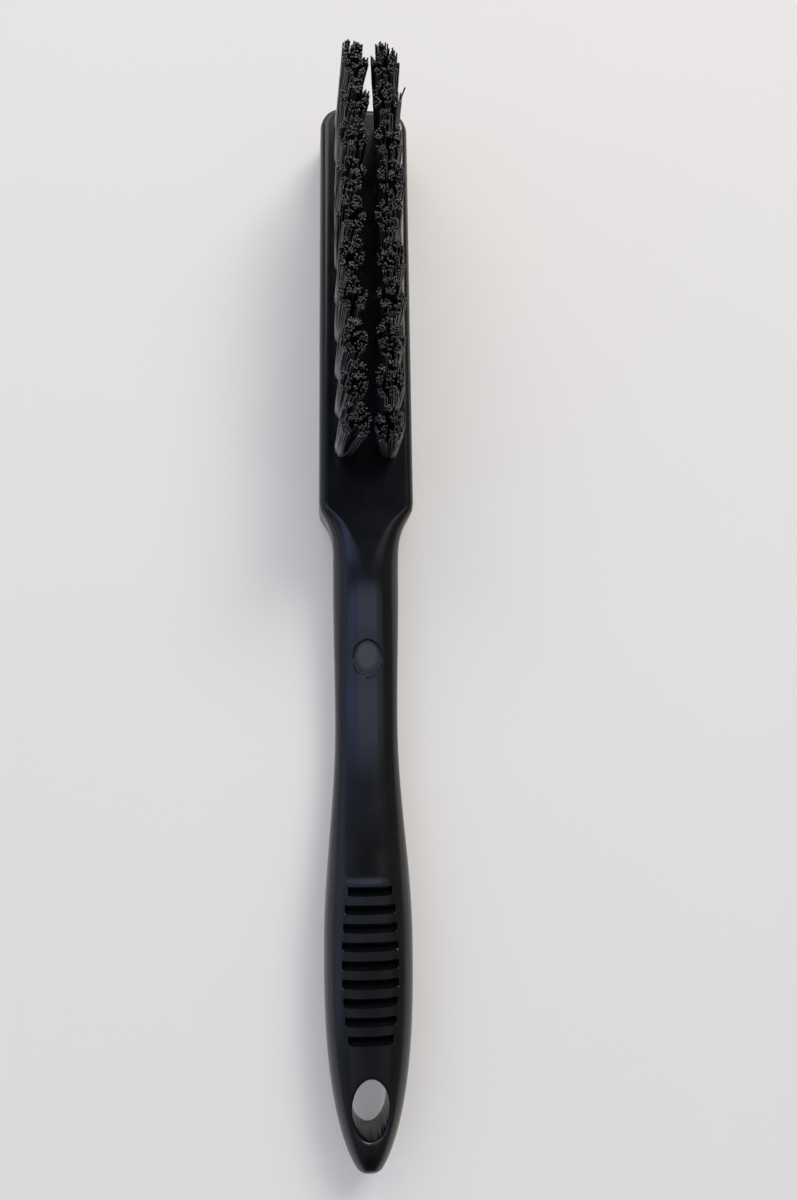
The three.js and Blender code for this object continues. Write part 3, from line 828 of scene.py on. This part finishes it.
def bristle_row(row, paths):
    """All tufts of one row as one piece, in the place of that row's CAD nodes."""
    points, faces, is_end = filament_tubes(paths.reshape(-1, *paths.shape[2:]))
    piece = mesh_object(f"tufts_{row}", points, faces)
    piece.data.materials.append(drawn_nylon)
    piece.data.materials.append(trimmed_nylon)
    piece.data.polygons.foreach_set("material_index", is_end.astype(np.int32))
    # This attribute holds the painted sheen, pale at the outer roots of each row where side light
    # falls.
    attribute = piece.data.attributes.new("painted_sheen", "FLOAT", "POINT")
    one_tuft = np.repeat(painted_sheen_share(row).ravel(), FILAMENT_SIDES)
    attribute.data.foreach_set("value", np.tile(one_tuft, len(paths)))
    piece.data.shade_smooth()
    piece.data.set_sharp_from_angle(angle=FILAMENT_SHARP)
    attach(piece, "root")
    roots = [f"tuft_root_{row}_{number + 1}" for number in range(len(paths))]
    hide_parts(f"bristle_row_{row}", *roots)
    print(piece.name, "has", len(paths) * FILAMENTS, "filaments and", len(faces), "faces")


for row in SIDES:
    paths = row_paths(row)
    if row == "right":
        share = np.clip(LEG_HEIGHTS, 0, 1)[:, None]
        paths[STRAY_TUFT, STRAY_FILAMENT, -len(LEG_HEIGHTS):] += (share ** 2 * STRAY_REACH)[::-1]
    bristle_row(row, paths)

# %% [markdown]
# ## Anchors: flat steel wire, drawn
# The anchors are chopped from drawn wire and stay hidden in the head, where the CAD solids already
# have their true shape. They keep it and only get their metal: drawing leaves fine bright lines
# along the wire.

# %% Drawn steel
WIRE_LINE = 0.08  # mm between drawing lines
LINE_STRETCH = 0.02  # share of the lines' scale along the wire
WIRE_GLOSS = (0.25, 0.45)  # roughness from one line to the next

drawn_steel, tree, output = new_material("steel_wire_drawn")
place = add(tree, "TexCoord")
stretched = add(tree, "Mapping", {
    "Vector": place.outputs["Object"], "Scale": (1, LINE_STRETCH, 1),
})
lines = add(tree, "TexNoise", {
    "Vector": stretched.outputs["Vector"], "Scale": per_metre(WIRE_LINE), "Detail": 2,
})
gloss = add(tree, "MapRange", {
    "Value": lines.outputs["Fac"], "To Min": WIRE_GLOSS[0], "To Max": WIRE_GLOSS[1],
})
steel = add(tree, "BsdfPrincipled", {
    "Base Color": linear("#b9bcc0"), "Metallic": 1, "Roughness": gloss.outputs["Result"],
})
tree.links.new(steel.outputs["BSDF"], output.inputs["Surface"])

for node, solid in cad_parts.items():
    if node.startswith("tuft_anchor_"):
        solid.data.materials.clear()
        solid.data.materials.append(drawn_steel)
print("material", drawn_steel.name, "on the anchors")

# %% [markdown]
# ## Table and light
# The brush lies on a pale matt table. A phone lightens shadows in its pictures, and the table does
# the same: for rays of the camera and of clear or mirroring surfaces, a share of its unshaded colour
# is mixed in. A brighter lamp would do it too, but this adds no light to the brush. Black plastic
# shows its room more than itself, so the lamps are placed for what the handle mirrors. Two large
# windows stand beyond the head, the right one brighter, so the soft shadow falls to the left. A row
# of bluish panels overhead draws the sheen along the neck. Between the windows and the panels the
# room stays dim, so the flat face of the head has little to reflect and stays black. The glow of a
# lamp is the brightness of its panel as the eye sees it, and its power follows from that and the
# area.

# %% The table
TABLE_SIZE = 6  # m
TABLE_PATCH = 60  # mm; faint patches of a paler tone
TABLE_ROUGHNESS = 0.7
LACQUER_IOR = 1.4
SHADOW_LIFT = 0.22  # share of the unshaded table that lightens the shadows in the picture

table_top, tree, output = new_material("matt_table_lacquer")
place = add(tree, "TexCoord")
patches = add(tree, "TexNoise", {
    "Vector": place.outputs["Object"], "Scale": per_metre(TABLE_PATCH), "Detail": 2,
})
tint = add(tree, "ValToRGB", {"Fac": patches.outputs["Fac"]})
tint.color_ramp.elements[0].color = linear("#f3f1ed")
tint.color_ramp.elements[1].color = linear("#f6f4f0")
lacquer = add(tree, "BsdfPrincipled", {
    "Base Color": tint.outputs["Color"], "Roughness": TABLE_ROUGHNESS, "IOR": LACQUER_IOR,
})
unshaded = add(tree, "Emission", {"Color": linear("#eae8e5"), "Strength": 1})
ray = add(tree, "LightPath")
bounced = add(tree, "Math", {
    0: ray.outputs["Is Glossy Ray"], 1: ray.outputs["Is Transmission Ray"],
}, operation="ADD")
seen = add(tree, "Math", {
    0: ray.outputs["Is Camera Ray"], 1: bounced.outputs["Value"],
}, operation="ADD", use_clamp=True)
lift = add(tree, "Math", {0: seen.outputs["Value"], 1: SHADOW_LIFT}, operation="MULTIPLY")
lightened = add(tree, "MixShader", {
    0: lift.outputs["Value"], 1: lacquer.outputs["BSDF"], 2: unshaded.outputs["Emission"],
})
tree.links.new(lightened.outputs["Shader"], output.inputs["Surface"])

corners = np.array([(-1, -1, 0), (1, -1, 0), (1, 1, 0), (-1, 1, 0)]) * TABLE_SIZE / 2 / MM
table = mesh_object("table", corners, [[0, 1, 2, 3]])
table.data.materials.append(table_top)
print("table", TABLE_SIZE, "m wide")

# %% The lamps
CEILING = 1.3  # m above the table
STRIP_PLACE = -0.03  # m; where the row of panels crosses the brush
STRIP_DEPTH = 0.34  # m
DOWN = (0, 0, 0)  # a lamp that isn't turned shines straight down

lamps = {  # places and sizes in metres, turns in degrees
    "far_right": {
        "at": (0.9, 1.5, 1.4), "turn": (-51, 0, -31), "size": (1.0, 0.95),
        "glow": 9.6, "colour": "#fffaf4",
    },
    "far_left": {
        "at": (-0.5, 1.6, 1.13), "turn": (-56, 0, 15), "size": (2.2, 1.15),
        "glow": 2.35, "colour": "#fff6ea",
    },
    "strip_left": {
        "at": (-1.1, STRIP_PLACE, CEILING), "turn": DOWN, "size": (1.4, STRIP_DEPTH),
        "glow": 1.5, "colour": "#a6bdff",
    },
    "strip_middle": {
        "at": (0.1, STRIP_PLACE, CEILING), "turn": DOWN, "size": (1.0, STRIP_DEPTH),
        "glow": 1.55, "colour": "#d0dcff",
    },
    "strip_right": {
        "at": (0.9, STRIP_PLACE, CEILING), "turn": DOWN, "size": (0.6, STRIP_DEPTH),
        "glow": 0.6, "colour": "#eef2ff",
    },
    "ceiling_near": {
        "at": (0, -1.2, CEILING), "turn": DOWN, "size": (2.8, 2.0),
        "glow": 0.18, "colour": "#eef3fd",
    },
    "left_window": {
        "at": (-1.5, 0.1, 0.55), "turn": (0, -70, 0), "size": (0.8, 1.6),
        "glow": 0.5, "colour": "#b4c8f5",
    },
}
for name, lamp in lamps.items():
    light = bpy.data.lights.new(name, "AREA")
    light.shape = "RECTANGLE"
    light.size, light.size_y = lamp["size"]
    light.energy = lamp["glow"] * math.pi * light.size * light.size_y
    light.color = linear(lamp["colour"])[:3]
    holder = bpy.data.objects.new(name, light)
    holder.location = lamp["at"]
    holder.rotation_euler = [math.radians(angle) for angle in lamp["turn"]]
    scene.collection.objects.link(holder)

print("lamps:", ", ".join(lamps))

# %% The room
WALL_ENDS = (0.05, 0.97)  # from the left wall to the right one

room = bpy.data.worlds.new("room")
room.use_nodes = True
scene.world = room
tree = room.node_tree
tree.nodes.clear()
towards = add(tree, "TexCoord")
axes = add(tree, "SeparateXYZ", {"Vector": towards.outputs["Generated"]})
left_to_right = add(tree, "MapRange", {"Value": axes.outputs["X"], "From Min": -1, "From Max": 1})
walls = add(tree, "ValToRGB", {"Fac": left_to_right.outputs["Result"]})
walls.color_ramp.elements[0].position = WALL_ENDS[0]
walls.color_ramp.elements[0].color = linear("#8790a2")
walls.color_ramp.elements[1].position = WALL_ENDS[1]
walls.color_ramp.elements[1].color = linear("#7c7b7a")
dim_middle = walls.color_ramp.elements.new(0.5)
dim_middle.color = linear("#303134")
glow = add(tree, "Background", {"Color": walls.outputs["Color"], "Strength": 1})
add(tree, "OutputWorld", {"Surface": glow.outputs["Background"]})
print("room with", len(tree.nodes), "nodes")
